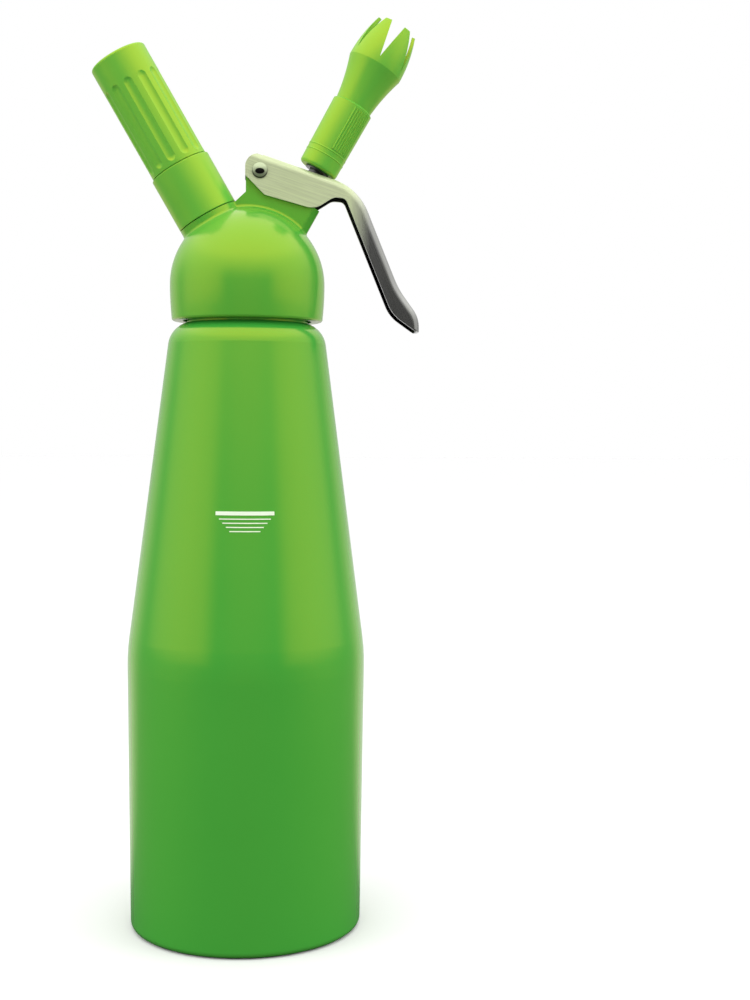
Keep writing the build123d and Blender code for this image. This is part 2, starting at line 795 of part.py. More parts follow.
with BuildPart() as lever:
    with BuildSketch(lever_frame):
        with BuildLine():
            add(web_line.line)
            Line((web_start, web_offset), (cheek_back, web_offset))
            FilletPolyline(
                (cheek_back, web_offset),
                (cheek_back, cheek_back_top),
                cheek_back_foot,
                cheek_heel,
                cheek_toe,
                cheek_neck,
                inner_edge + down_handle * handle_neck_drop,
                inner_edge + down_handle * handle_foot_drop,
                under_tip,
                radius=list(cheek_rounds),
            )
            Line(under_tip, handle_tip)
        make_face()
    extrude(amount=lever_width / 2, both=True)
    side_edges = lever.faces().filter_by(Axis.Y).edges()
    fillet(side_edges.filter_by(lambda edge: lies_along(edge, web_line.line, lever_frame)), lever_bend)
    add(lever_channel.part, mode=Mode.SUBTRACT)
    with BuildSketch(lever_frame):
        with BuildLine():
            CenterArc((web_start, web_offset - nose_round), nose_round, 90, 90)
            Polyline(
                (cheek_back, web_offset - nose_round),
                (cheek_back - sheet, web_offset - nose_round),
                (cheek_back - sheet, web_offset + sheet),
                (web_start, web_offset + sheet),
                (web_start, web_offset),
            )
        make_face()
    extrude(amount=lever_width, both=True, mode=Mode.SUBTRACT)
    with BuildSketch(nozzle.offset(pivot.Z)):
        with Locations((-slot_swing / 2, 0)):
            SlotCenterToCenter(slot_swing, 2 * slot_half_width)
    extrude(amount=flange_foot - pivot.Z, mode=Mode.SUBTRACT)
    with BuildSketch(lever_frame):
        Circle(pin_shank_radius + running_fit)
    extrude(amount=lever_width, both=True, mode=Mode.SUBTRACT)
    end_point = lever_frame.from_local_coords(Vector(handle_tip.X, handle_tip.Y))
    end_frame = leaning_frame(end_point.X, end_point.Z, lever_slope + handle_tip_drop)
    with BuildSketch(end_frame.offset(-2 * handle_length)):
        with Locations((-2 * handle_length, 0)):
            RectangleRounded(4 * handle_length, lever_width + 2 * seat_gap, handle_end_round)
    extrude(amount=4 * handle_length, mode=Mode.INTERSECT)
lever.part.label = "lever"
export_step(lever.part, "parts/lever.step")

# Pivot pin: a shank through the boss and both cheeks, with a domed head at each end
pin_frame = Plane(origin=(pivot_x, 0, pivot_z), x_dir=(1, 0, 0), z_dir=(0, 1, 0))
pin_half = lever_width / 2 + seat_gap
pin_edge = pin_half + pin_head_edge

with BuildPart() as pivot_pin:
    with BuildSketch(side_view(pin_frame)):
        with BuildLine():
            Polyline(
                (0, pin_half + pin_head_height),
                (0, 0),
                (pin_shank_radius, 0),
                (pin_shank_radius, pin_half),
                (pin_head_radius, pin_half),
                (pin_head_radius, pin_edge),
            )
            dome_reach = pin_head_height - pin_head_edge
            dome_radius = (pin_head_radius**2 + dome_reach**2) / (2 * dome_reach)
            RadiusArc((pin_head_radius, pin_edge), (0, pin_half + pin_head_height), -dome_radius)
        make_face()
    revolve(axis=Axis(pin_frame.origin, pin_frame.z_dir))
    mirror(about=Plane.XZ)
pivot_pin.part.label = "pivot_pin"
export_step(pivot_pin.part, "parts/pivot_pin.step")

# O-ring between the adapter's flange and the decorating tip
tip_seal_foot = flange_top + seat_gap
tip_seal_top = tip_seal_foot + tip_seal_section
with BuildPart() as tip_seal:
    with BuildSketch(side_view(nozzle)):
        with Locations((flange_radius - tip_seal_section / 2, (tip_seal_foot + tip_seal_top) / 2)):
            Circle(tip_seal_section / 2)
    revolve(axis=Axis(nozzle.origin, nozzle.z_dir))
tip_seal.part.label = "tip_seal"
export_step(tip_seal.part, "parts/tip_seal.step")

# Decorating tip: a ribbed grip below a flared tulip cut into petals
tip_frame = nozzle.offset(tip_base)
tip_bore = adapter_radius + tip_ridge + thread_gap
tip_neck = tip_ring_height + tip_step
neck_middle = (tip_neck + tip_flare_height) / 2
petal_middle = (tip_flare_height + tip_length) / 2
neck_inset = (tip_waist_radius + tip_flare_radius) / 2 - tip_neck_bulge
petal_outset = (tip_flare_radius + tip_mouth_radius) / 2 + tip_petal_bulge
petal_gap = 2 * pi * tip_mouth_radius / petal_count - petal_end_width
petal_rise = tip_length - petal_slot_height
grip_slope = (tip_ring_radius - tip_radius) / tip_ring_height

with BuildPart() as petal_slot:
    with BuildSketch(Plane.XZ):
        with BuildLine():
            Polyline(
                (0, petal_slot_height),
                (petal_gap, petal_slot_height + 2 * petal_rise),
                (-petal_gap, petal_slot_height + 2 * petal_rise),
                close=True,
            )
        make_face()
    extrude(amount=2 * tip_flare_radius)

with BuildPart() as decorator_tip:
    with BuildSketch(side_view(tip_frame)):
        with BuildLine():
            Polyline(
                (0, tip_length),
                (0, 0),
                (tip_radius, 0),
                (tip_ring_radius, tip_ring_height),
                (tip_waist_radius, tip_neck),
            )
            ThreePointArc(
                (tip_waist_radius, tip_neck), (neck_inset, neck_middle), (tip_flare_radius, tip_flare_height)
            )
            ThreePointArc(
                (tip_flare_radius, tip_flare_height), (petal_outset, petal_middle), (tip_mouth_radius, tip_length)
            )
            Line((tip_mouth_radius, tip_length), (0, tip_length))
        make_face()
    revolve(axis=Axis(nozzle.origin, nozzle.z_dir))
    foot_rim = decorator_tip.edges().filter_by(GeomType.CIRCLE).sort_by(Axis(nozzle.origin, nozzle.z_dir))[0]
    fillet(foot_rim, tip_base_round)
    for height in tip_bead_heights:
        with BuildSketch(side_view(tip_frame)):
            with Locations((tip_radius + height * grip_slope + tip_bead_height - tip_bead_radius, height)):
                Circle(tip_bead_radius)
        revolve(axis=Axis(nozzle.origin, nozzle.z_dir))
    for group in range(rib_groups):
        first_rib = rib_heading + group * 360 / rib_groups - rib_spacing * (rib_count - 1) / 2
        rib_foot = tip_radius + rib_start * grip_slope + rib_height - rib_radius
        with Locations(tip_frame.offset(rib_start)):
            with PolarLocations(rib_foot, rib_count, first_rib, rib_spacing * (rib_count - 1), endpoint=True):
                Cylinder(rib_radius, rib_end - rib_start, rotation=(0, degrees(atan(grip_slope)), 0), align=UP)
    with BuildSketch(side_view(tip_frame)):
        with BuildLine():
            Polyline(
                (0, tip_length),
                (0, 0),
                (tip_bore, 0),
                (tip_bore, tip_bore_height),
                (tip_waist_radius - tip_wall, tip_bore_height + tip_bore_cone),
                (tip_waist_radius - tip_wall, tip_neck),
            )
            ThreePointArc(
                (tip_waist_radius - tip_wall, tip_neck),
                (neck_inset - tip_wall, neck_middle),
                (tip_flare_radius - tip_wall, tip_flare_height),
            )
            ThreePointArc(
                (tip_flare_radius - tip_wall, tip_flare_height),
                (petal_outset - tip_wall, petal_middle),
                (tip_mouth_radius - tip_wall, tip_length),
            )
            Line((tip_mouth_radius - tip_wall, tip_length), (0, tip_length))
        make_face()
    revolve(axis=Axis(nozzle.origin, nozzle.z_dir), mode=Mode.SUBTRACT)
    ring(nozzle, 0, flange_radius + seat_gap, tip_base, tip_seal_top + seat_gap, Mode.SUBTRACT)
    thread_ridge(
        nozzle,
        tip_bore,
        -tip_ridge,
        tip_base + tip_thread_start + tip_pitch / 2,
        tip_thread_length - tip_pitch / 2,
        tip_pitch,
        tip_ridge_width,
    )
    with Locations(tip_frame):
        with PolarLocations(0, petal_count):
            add(petal_slot.part, mode=Mode.SUBTRACT)
decorator_tip.part.label = "decorator_tip"
export_step(decorator_tip.part, "parts/decorator_tip.step")
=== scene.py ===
# %% [markdown]
# # A whipped cream dispenser, dressed
#
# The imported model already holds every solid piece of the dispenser: the bottle, the screwed head, the slanted charger
# holder, the squeeze lever and the decorating tip. This lesson gives those pieces their finishes, prints the fill
# marks on the bottle, and sets up a plain studio. All lengths are metres, +Z is up and -Y is the front.

import json
from math import pi, radians, tan

import bpy
from mathutils import Matrix, Vector


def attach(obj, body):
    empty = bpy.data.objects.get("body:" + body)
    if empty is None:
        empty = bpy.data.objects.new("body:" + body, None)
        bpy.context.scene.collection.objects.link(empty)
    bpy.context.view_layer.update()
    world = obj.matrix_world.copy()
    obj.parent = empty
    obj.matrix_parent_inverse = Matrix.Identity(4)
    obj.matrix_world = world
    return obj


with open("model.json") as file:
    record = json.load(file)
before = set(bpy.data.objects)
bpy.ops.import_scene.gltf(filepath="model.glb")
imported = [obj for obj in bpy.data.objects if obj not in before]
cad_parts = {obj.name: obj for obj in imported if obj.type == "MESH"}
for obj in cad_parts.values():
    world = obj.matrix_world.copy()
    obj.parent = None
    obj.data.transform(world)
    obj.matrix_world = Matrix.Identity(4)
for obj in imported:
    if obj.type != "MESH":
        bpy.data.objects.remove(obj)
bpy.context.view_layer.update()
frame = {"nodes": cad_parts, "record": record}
scene = bpy.context.scene

# %% [markdown]
# ## The camera
#
# The dispenser is seen from close in front, a little above its middle. A constraint could aim the camera at it, but
# three turns give the same view with numbers that can be read one by one. A camera looks along its own -Z, so it is
# turned up from the floor by a right angle and its pitch, which is negative when it looks down, and then round the
# upright axis by its yaw. The lens follows from the field of view on the long side.

# %% Place the camera
CAMERA_PLACE = Vector((-0.0004, -0.587, 0.1987))
CAMERA_YAW = radians(-4.97)
CAMERA_PITCH = radians(-2.97)
CAMERA_ROLL = radians(0.4)
LONG_SIDE_PIXELS = 1000
FOCAL_PIXELS = 1486
SENSOR_WIDTH = 36.0

camera_data = bpy.data.cameras.new("camera")
camera_data.sensor_width = SENSOR_WIDTH
camera_data.lens = SENSOR_WIDTH * FOCAL_PIXELS / LONG_SIDE_PIXELS
camera = bpy.data.objects.new("camera", camera_data)
scene.collection.objects.link(camera)
camera.matrix_world = (
    Matrix.Translation(CAMERA_PLACE)
    @ Matrix.Rotation(CAMERA_YAW, 4, "Z")
    @ Matrix.Rotation(pi / 2 + CAMERA_PITCH, 4, "X")
    @ Matrix.Rotation(CAMERA_ROLL, 4, "Z")
)
scene.camera = camera
scene.view_settings.view_transform = "Standard"
print("lens", round(camera_data.lens, 2), "mm")

# %% [markdown]
# ## Helpers for node trees
#
# A material, a world and a geometry tree are all built from nodes. They could be clicked together in the editor, but
# written out they can be read and changed as numbers. One short helper adds a node and fills its inputs: a value that
# is an output socket becomes a link, and anything else becomes the input's own value. Sums and colour mixes turn up
# everywhere, so they get helpers of their own.


# %% Add a node and fill its inputs
def add_node(tree, kind, inputs=None, **settings):
    """One node, with its settings made and its inputs filled or linked."""
    node = tree.nodes.new(kind)
    for name, value in settings.items():
        setattr(node, name, value)
    for key, value in (inputs or {}).items():
        if isinstance(value, bpy.types.NodeSocket):
            tree.links.new(value, node.inputs[key])
        else:
            node.inputs[key].default_value = value
    return node


print("one helper for every kind of node")


# %% Mix colours and vectors
MIX_SOCKETS = {  # the first input, the second input and the output that a Mix node keeps for each kind of value
    "VECTOR": (4, 5, 1),
    "RGBA": (6, 7, 2),
}


def mix(tree, kind, factor, first, second):
    """The first value where the factor is 0, the second where it is 1, and a blend between."""
    first_input, second_input, output = MIX_SOCKETS[kind]
    node = add_node(tree, "ShaderNodeMix", {0: factor, first_input: first, second_input: second}, data_type=kind)
    return node.outputs[output]


def mix_colours(tree, factor, first, second):
    return mix(tree, "RGBA", factor, first, second)


def colour(red, green, blue):
    return (red, green, blue, 1.0)


print("white is", colour(1, 1, 1))


# %% Shorter helpers for sums and axes
def maths(tree, operation, *values):
    """One maths node on up to three values."""
    return add_node(tree, "ShaderNodeMath", dict(enumerate(values)), operation=operation).outputs["Value"]


def axes_of(tree, vector):
    """The X, Y and Z of a vector, by name."""
    return add_node(tree, "ShaderNodeSeparateXYZ", {"Vector": vector}).outputs


print("sums go through one maths node each")

# %% [markdown]
# ## The studio
#
# A glossy green coat shows the room in it. The room could be an image round the world or a set of glowing panels.
# Here it is drawn in the world's own nodes, so that each light level is one number in a table. In front it is dark up
# to the horizon and brighter with height, so that the shoulders and the dome catch light and the straight wall stays
# deep. Pale panels stand to both sides, with a dimmer gap between each panel and the backdrop. Only the camera sees
# plain white instead. A ramp's colours are kept at 1 or below, so the levels are divided by the world's strength.

# %% Start an empty world
world = bpy.data.worlds.new("studio")
scene.world = world
world.use_nodes = True
tree = world.node_tree
tree.nodes.clear()
print("world", world.name)


# %% Light levels that change with an angle
def ramp_over(tree, value, stops, full=1.0):
    """A grey that changes with a value: each stop is (value, grey), and greys are divided by full."""
    low, high = stops[0][0], stops[-1][0]
    place = add_node(tree, "ShaderNodeMapRange", {"Value": value, "From Min": low, "From Max": high})
    ramp = add_node(tree, "ShaderNodeValToRGB", {"Fac": place.outputs["Result"]})
    elements = ramp.color_ramp.elements
    for stop, grey in stops[1:-1]:
        elements.new((stop - low) / (high - low))
    for element, (stop, grey) in zip(elements, stops):
        element.color = colour(*[grey / full] * 3)
    return ramp.outputs["Color"]


def degrees_from_front(tree, axes):
    """The angle of a direction or a place round the upright axis, from the front either way."""
    sideways = maths(tree, "ABSOLUTE", axes["X"])
    forwards = maths(tree, "MULTIPLY", axes["Y"], -1.0)
    return maths(tree, "DEGREES", maths(tree, "ARCTAN2", sideways, forwards))


print("levels run over degrees, up from the horizon and round from the front")

# %% Draw the room
ROOM_STRENGTH = 2.0
FRONT_LEVELS = (
    (-90, 0.07), (0, 0.07), (6, 0.09), (9, 0.15), (12, 0.25), (15, 0.38), (18, 0.56),
    (24, 0.82), (30, 1.08), (36, 1.38), (42, 1.58), (90, 1.62),
)
SIDE_LEVELS = ((-90, 0.15), (-20, 0.50), (0, 0.72), (15, 0.75), (30, 1.08), (36, 1.38), (42, 1.58), (90, 1.62))
SIDE_SHARE = ((0, 0.0), (30, 0.0), (45, 1.0), (100, 1.0), (116, 0.25), (136, 1.0), (180, 1.0))

room_direction = add_node(tree, "ShaderNodeTexCoord").outputs["Generated"]
room_axes = axes_of(tree, room_direction)
elevation = maths(tree, "DEGREES", maths(tree, "ARCSINE", room_axes["Z"]))
room_colour = mix_colours(
    tree,
    ramp_over(tree, degrees_from_front(tree, room_axes), SIDE_SHARE),
    ramp_over(tree, elevation, FRONT_LEVELS, ROOM_STRENGTH),
    ramp_over(tree, elevation, SIDE_LEVELS, ROOM_STRENGTH),
)
room_light = add_node(tree, "ShaderNodeBackground", {"Color": room_colour, "Strength": ROOM_STRENGTH})
paper_white = add_node(tree, "ShaderNodeBackground", {"Color": colour(1, 1, 1), "Strength": 1.0})
seen_by = add_node(tree, "ShaderNodeLightPath")
shown = add_node(
    tree,
    "ShaderNodeMixShader",
    {0: seen_by.outputs["Is Camera Ray"], 1: room_light.outputs["Background"], 2: paper_white.outputs["Background"]},
)
add_node(tree, "ShaderNodeOutputWorld", {"Surface": shown.outputs["Shader"]})
print("room levels:", len(FRONT_LEVELS), "in front and", len(SIDE_LEVELS), "at the sides")

# %% [markdown]
# ## The floor and the lamps
#
# The dispenser stands on a plain pale surface. A curved backdrop would do too, but one flat face under a white world
# looks the same. The floor is pale to the camera and dim to everything else, most of all in front, so that the
# bottle's lower wall isn't washed out from below. Two tall soft boxes stand to the left and right, a broad one in
# front and one above. They light the colours but don't show as shapes in the coat, which mirrors the drawn room alone.

# %% Lay the floor
FLOOR_REACH = 8.0
FLOOR_DROP = 0.0002  # keeps the floor clear of the plane that the foot stands in

floor_mesh = bpy.data.meshes.new("floor")
corners = [(x * FLOOR_REACH, y * FLOOR_REACH, -FLOOR_DROP) for x, y in ((-1, -1), (1, -1), (1, 1), (-1, 1))]
floor_mesh.from_pydata(corners, [], [(0, 1, 2, 3)])
floor = bpy.data.objects.new("floor", floor_mesh)
scene.collection.objects.link(floor)
print("floor", 2 * FLOOR_REACH, "m wide")

# %% Colour the floor
FLOOR_TONES = ((0, 0.07), (28, 0.07), (60, 0.09), (95, 0.12), (120, 0.18), (140, 0.62), (180, 0.62))
PALE_TONE = colour(0.74, 0.74, 0.74)

floor_paper = bpy.data.materials.new("floor_paper")
floor_paper.use_nodes = True
tree = floor_paper.node_tree
tree.nodes.clear()
floor_axes = axes_of(tree, add_node(tree, "ShaderNodeTexCoord").outputs["Object"])
dim_tone = ramp_over(tree, degrees_from_front(tree, floor_axes), FLOOR_TONES)
seen_by = add_node(tree, "ShaderNodeLightPath")
floor_tone = mix_colours(tree, seen_by.outputs["Is Camera Ray"], dim_tone, PALE_TONE)
floor_surface = add_node(tree, "ShaderNodeBsdfDiffuse", {"Color": floor_tone})
add_node(tree, "ShaderNodeOutputMaterial", {"Surface": floor_surface.outputs["BSDF"]})
floor.data.materials.append(floor_paper)
print("floor tones", len(FLOOR_TONES))


# %% Hang the soft boxes
def soft_box(name, place, target, width, height, radiance):
    lamp = bpy.data.lights.new(name, "AREA")
    lamp.shape = "RECTANGLE"
    lamp.size = width
    lamp.size_y = height
    lamp.energy = radiance * pi * width * height  # so that the box is as bright as this, whatever its size
    box = bpy.data.objects.new(name, lamp)
    scene.collection.objects.link(box)
    aim = Vector(target) - Vector(place)
    box.matrix_world = Matrix.Translation(place) @ aim.to_track_quat("-Z", "Y").to_matrix().to_4x4()
    box.visible_camera = False
    box.visible_glossy = False


SOFT_BOXES = {  # name: where it hangs, what it faces, width, height and radiance
    "left_box": ((-0.97, -0.30, 0.12), (0, 0, 0.12), 0.7, 1.1, 3.6),
    "right_box": ((0.97, -0.30, 0.12), (0, 0, 0.12), 0.7, 1.1, 3.8),
    "front_box": ((0.0, -1.30, 0.35), (0, 0, 0.15), 1.0, 0.8, 1.7),
    "top_box": ((-0.05, -0.55, 1.05), (0, 0, 0.2), 1.1, 0.7, 0.8),
}
for name, values in SOFT_BOXES.items():
    soft_box(name, *values)

# %% [markdown]
# ## Shader groups that several finishes share
#
# The coat, the plastic and the steel all have tones that drift a little and a fine relief. Those nodes could be
# copied into every material, but a group is built once. It is a small tree with named inputs, placed in each material
# with its own values. The first group mixes two tones of one colour in soft patches. The second gives a fine
# relief, stretched along one direction where a surface was brushed.


# %% A helper for new groups
def new_group(name, inputs, outputs):
    group = bpy.data.node_groups.new(name, "ShaderNodeTree")
    for socket, kind, default in inputs:
        made = group.interface.new_socket(socket, in_out="INPUT", socket_type=kind)
        made.default_value = default
    for socket, kind in outputs:
        group.interface.new_socket(socket, in_out="OUTPUT", socket_type=kind)
    return group


print("groups so far", len(bpy.data.node_groups))

# %% Soft patches of two tones
tone_group = new_group(
    "tone_patches",
    [
        ("Tone", "NodeSocketColor", (0.5, 0.5, 0.5, 1)),
        ("Second Tone", "NodeSocketColor", (0.4, 0.4, 0.4, 1)),
        ("Patch Scale", "NodeSocketFloat", 20.0),
        ("Roughness", "NodeSocketFloat", 0.3),
        ("Roughness Spread", "NodeSocketFloat", 0.05),
    ],
    [("Color", "NodeSocketColor"), ("Roughness", "NodeSocketFloat")],
)
given = add_node(tone_group, "NodeGroupInput").outputs
place = add_node(tone_group, "ShaderNodeTexCoord").outputs["Object"]
patches = add_node(tone_group, "ShaderNodeTexNoise", {"Vector": place, "Scale": given["Patch Scale"], "Detail": 4.0})
tones = mix_colours(tone_group, patches.outputs["Fac"], given["Tone"], given["Second Tone"])
around_middle = maths(tone_group, "SUBTRACT", patches.outputs["Fac"], 0.5)
spread = maths(tone_group, "MULTIPLY_ADD", around_middle, given["Roughness Spread"], given["Roughness"])
add_node(tone_group, "NodeGroupOutput", {"Color": tones, "Roughness": spread})
print("tone group:", len(tone_group.nodes), "nodes")

# %% Fine relief, stretched along one direction
MASK_LOW = 0.35
MASK_HIGH = 0.65

grain_group = new_group(
    "fine_grain",
    [
        ("Vector", "NodeSocketVector", (0, 0, 0)),
        ("Grain Scale", "NodeSocketFloat", 900.0),
        ("Detail", "NodeSocketFloat", 3.0),
    ],
    [("Height", "NodeSocketFloat"), ("Mask", "NodeSocketFloat")],
)
given = add_node(grain_group, "NodeGroupInput").outputs
grain_noise = add_node(
    grain_group,
    "ShaderNodeTexNoise",
    {"Vector": given["Vector"], "Scale": given["Grain Scale"], "Detail": given["Detail"], "Roughness": 0.6},
)
grain_mask = add_node(
    grain_group,
    "ShaderNodeMapRange",
    {"Value": grain_noise.outputs["Fac"], "From Min": MASK_LOW, "From Max": MASK_HIGH},
)
grain_outputs = {"Height": grain_noise.outputs["Fac"], "Mask": grain_mask.outputs["Result"]}
add_node(grain_group, "NodeGroupOutput", grain_outputs)
print("groups", [group.name for group in bpy.data.node_groups])

# %% [markdown]
# ## Finishes
#
# Each finish starts from the same few lines: a Principled shader, a tone group for its colour and roughness, and a
# bump from the grain group. The relief could be modelled, but it is under a tenth of a millimetre deep, and a bump
# shows it with no more faces. What differs is passed in, and values that are the same all over stay on the shader.


# %% Give a finish its tones
def add_tones(tree, tone, second_tone, roughness, spread, patch_scale):
    return add_node(
        tree,
        "ShaderNodeGroup",
        {
            "Tone": colour(*tone),
            "Second Tone": colour(*second_tone),
            "Patch Scale": patch_scale,
            "Roughness": roughness,
            "Roughness Spread": spread,
        },
        node_tree=tone_group,
    )


def tones_of(shader):
    """The tone group that a finish's shader was given."""
    return shader.inputs["Base Color"].links[0].from_node


print("tones come from", tone_group.name)


# %% Start a finish
def new_finish(name, tone, second_tone, roughness, spread=0.05, patch_scale=25.0, **shader_values):
    finish = bpy.data.materials.new(name)
    finish.use_nodes = True
    tree = finish.node_tree
    tree.nodes.clear()
    tones = add_tones(tree, tone, second_tone, roughness, spread, patch_scale)
    shader = add_node(
        tree,
        "ShaderNodeBsdfPrincipled",
        {"Base Color": tones.outputs["Color"], "Roughness": tones.outputs["Roughness"]},
    )
    for socket, value in shader_values.items():
        shader.inputs[socket.replace("_", " ")].default_value = value
    add_node(tree, "ShaderNodeOutputMaterial", {"Surface": shader.outputs["BSDF"]})
    return finish, tree, shader


print("materials so far", len(bpy.data.materials))


# %% Add a fine relief to it
def add_grain(tree, shader, vector, scale, strength, distance=0.0001):
    grain = add_node(tree, "ShaderNodeGroup", {"Vector": vector, "Grain Scale": scale}, node_tree=grain_group)
    bump = add_node(
        tree,
        "ShaderNodeBump",
        {"Height": grain.outputs["Height"], "Strength": strength, "Distance": distance},
    )
    tree.links.new(bump.outputs["Normal"], shader.inputs["Normal"])
    return grain


print("relief comes from", grain_group.name)


# %% Say where a pattern lies
def object_place(tree):
    """Places in the piece's own axes, which move with it."""
    return add_node(tree, "ShaderNodeTexCoord").outputs["Object"]


def leaning_place(tree, origin, lean, stretch):
    """Object coordinates measured from an origin in axes that lean about Y, each divided by its stretch."""
    mapping = add_node(
        tree,
        "ShaderNodeMapping",
        {"Vector": object_place(tree), "Location": origin, "Rotation": (0, lean, 0), "Scale": stretch},
        vector_type="TEXTURE",
    )
    return mapping.outputs["Vector"]


print("patterns lie in each piece's own axes")

# %% [markdown]
# ### The green coat on the bottle and head
#
# The aluminium is sprayed with a clear yellow-green coat and cured. The coat lies flat but keeps a faint ripple, a
# few millimetres from crest to crest, which softens the reflections. A clear layer over a green base would be the
# usual way, but such a layer mirrors in white, and the sheen here is warmer than the body colour. So one layer is
# used, with a specular tint that leans to yellow.

# %% Mix the green coat
COAT_SHEEN = colour(1.0, 0.74, 0.03)
COAT_IOR = 1.8


def sprayed_coat(name, tone, second_tone):
    coat, tree, shader = new_finish(
        name,
        tone,
        second_tone,
        roughness=0.20,
        spread=0.04,
        IOR=COAT_IOR,
        Specular_IOR_Level=1.0,
        Specular_Tint=COAT_SHEEN,
    )
    add_grain(tree, shader, object_place(tree), scale=420.0, strength=0.05)
    return coat


bottle_coat = sprayed_coat("bottle_coat", (0.038, 0.342, 0.041), (0.043, 0.356, 0.044))
# The head's tone is a little lighter and yellower than the bottle's: painted light, as the head sits on top where more
# light falls.
head_coat_painted_light = sprayed_coat("head_coat_painted_light", (0.072, 0.368, 0.040), (0.079, 0.383, 0.043))
print("green coats:", bottle_coat.name, head_coat_painted_light.name)

# %% [markdown]
# ### Moulded green plastic
#
# The charger holder and the tip are moulded in the same colour, a little lighter and softer in its gloss. Fine spark
# erosion of the mould leaves a satin skin. Roughness alone could give it, but a relief that is much smaller than the
# coat's ripple also breaks up the highlights on the ribs.

# %% Mix the green plastic
PLASTIC_SHEEN = colour(1.0, 0.66, 0.0)
PLASTIC_IOR = 2.1

green_plastic, tree, shader = new_finish(
    "green_plastic",
    (0.078, 0.452, 0.055),
    (0.088, 0.472, 0.059),
    roughness=0.34,
    spread=0.06,
    IOR=PLASTIC_IOR,
    Specular_IOR_Level=0.9,
    Specular_Tint=PLASTIC_SHEEN,
)
add_grain(tree, shader, object_place(tree), scale=2600.0, strength=0.06, distance=0.00005)
print("moulded:", green_plastic.name)

# %% [markdown]
# ### Brushed steel for the lever
#
# The strip was brushed along its length before it was bent, so the scratches follow the web and then turn down the
# handle. A UV map along the strip could carry them, but a imported piece has none. So two copies of the same long
# grain lie in axes that lean with each stretch, and a soft step between them sits in the bend. The handle is rubbed
# smoother than the satin web. The inside of the channel is painted near black as painted shade, standing in for the
# shade between the cheeks. A wall's inside is where its normal, in the lever's own axes, points back to the middle
# plane.

# %% Brush the lever
PIVOT = (0.0046, 0.0, 0.29565)
WEB_LEAN = radians(18.0)
HANDLE_LEAN = radians(67.6)
BEND_START = 0.0395
BEND_END = 0.0475
LONG_GRAIN = (45.0, 1.0, 1.0)
WEB_METALLIC = 0.45
STREAK_SHARE = 0.30
STREAK_TONE = colour(0.25, 0.27, 0.18)
PATCH_SCALE = 60.0

# The web's lighter yellow-green tones are a painted reflection of the green head below it; the handle keeps plain steel
# grey.
lever_steel, tree, shader = new_finish(
    "lever_steel",
    (0.70, 0.77, 0.48),
    (0.56, 0.64, 0.35),
    roughness=0.42,
    spread=0.12,
    patch_scale=PATCH_SCALE,
    Metallic=WEB_METALLIC,
)
web_tones_green_reflection = tones_of(shader)
handle_tones = add_tones(
    tree, (0.50, 0.50, 0.49), (0.42, 0.42, 0.41), roughness=0.20, spread=0.08, patch_scale=PATCH_SCALE
)
along_web = leaning_place(tree, PIVOT, WEB_LEAN, LONG_GRAIN)
along_handle = leaning_place(tree, PIVOT, HANDLE_LEAN, LONG_GRAIN)
lever_axes = axes_of(tree, object_place(tree))
print("two leaning grains, stretched", LONG_GRAIN[0], "times")


# %% Change the steel in the bend
def past_bend(web_value, handle_value):
    """A value for the web that becomes another for the handle."""
    step = add_node(
        tree,
        "ShaderNodeMapRange",
        {
            "Value": lever_axes["X"],
            "From Min": BEND_START,
            "From Max": BEND_END,
            "To Min": web_value,
            "To Max": handle_value,
        },
    )
    return step.outputs["Result"]


on_handle = past_bend(0.0, 1.0)
grain_place = mix(tree, "VECTOR", on_handle, along_web, along_handle)
grain = add_grain(tree, shader, grain_place, scale=2800.0, strength=0.32)
streaks = maths(tree, "MULTIPLY", grain.outputs["Mask"], STREAK_SHARE)
even_tone = mix_colours(tree, on_handle, web_tones_green_reflection.outputs["Color"], handle_tones.outputs["Color"])
outside_tone = mix_colours(tree, streaks, even_tone, STREAK_TONE)
tree.links.new(past_bend(WEB_METALLIC, 1.0), shader.inputs["Metallic"])
bent_roughness = past_bend(web_tones_green_reflection.outputs["Roughness"], handle_tones.outputs["Roughness"])
tree.links.new(bent_roughness, shader.inputs["Roughness"])
print("steel changes over", round(BEND_END - BEND_START, 4), "m")

# %% Paint shade inside the channel
# Painted shade: the channel's inner walls get a near-black tone in place of the shade that falls between the cheeks.
CHANNEL_SHADE_TONE = colour(0.025, 0.025, 0.023)
INWARDS = -0.001
wall_facing = axes_of(tree, add_node(tree, "ShaderNodeTexCoord").outputs["Normal"])["Y"]
outwards = maths(tree, "MULTIPLY", wall_facing, lever_axes["Y"])
inside = maths(tree, "LESS_THAN", outwards, INWARDS)
tree.links.new(mix_colours(tree, inside, outside_tone, CHANNEL_SHADE_TONE), shader.inputs["Base Color"])
print("lever:", len(tree.nodes), "nodes")

# %% [markdown]
# ### The pivot pin
#
# The pin's low head is satin like the web, and its yellow-green cast is the same painted green reflection. Its middle
# is painted dark as a painted reflection of the dim room, and the lower rim, where the head turns under, is painted
# shadow. A dimple and a groove could be cut for them, but the imported pin is a plain low dome and its mesh stays as
# it is. So both are masks round the pin's axis.


# %% A soft oval mask
FLAT = 1000.0  # a stretch so long that the place along Y hardly counts
SOFT_EDGE = 0.08


def outside_oval(tree, drop, half_width, half_height):
    """0 inside an oval that lies this far below the pivot, seen along Y, and 1 outside it, with a soft edge."""
    centre = Vector(PIVOT) - Vector((0.0, 0.0, drop))
    place = leaning_place(tree, centre, 0.0, (half_width, FLAT, half_height))
    reach = add_node(tree, "ShaderNodeVectorMath", {0: place}, operation="LENGTH").outputs["Value"]
    edge_values = {"Value": reach, "From Min": 1 - SOFT_EDGE, "From Max": 1 + SOFT_EDGE}
    return add_node(tree, "ShaderNodeMapRange", edge_values).outputs["Result"]


print("mask edges are soft over", 2 * SOFT_EDGE, "of their reach")

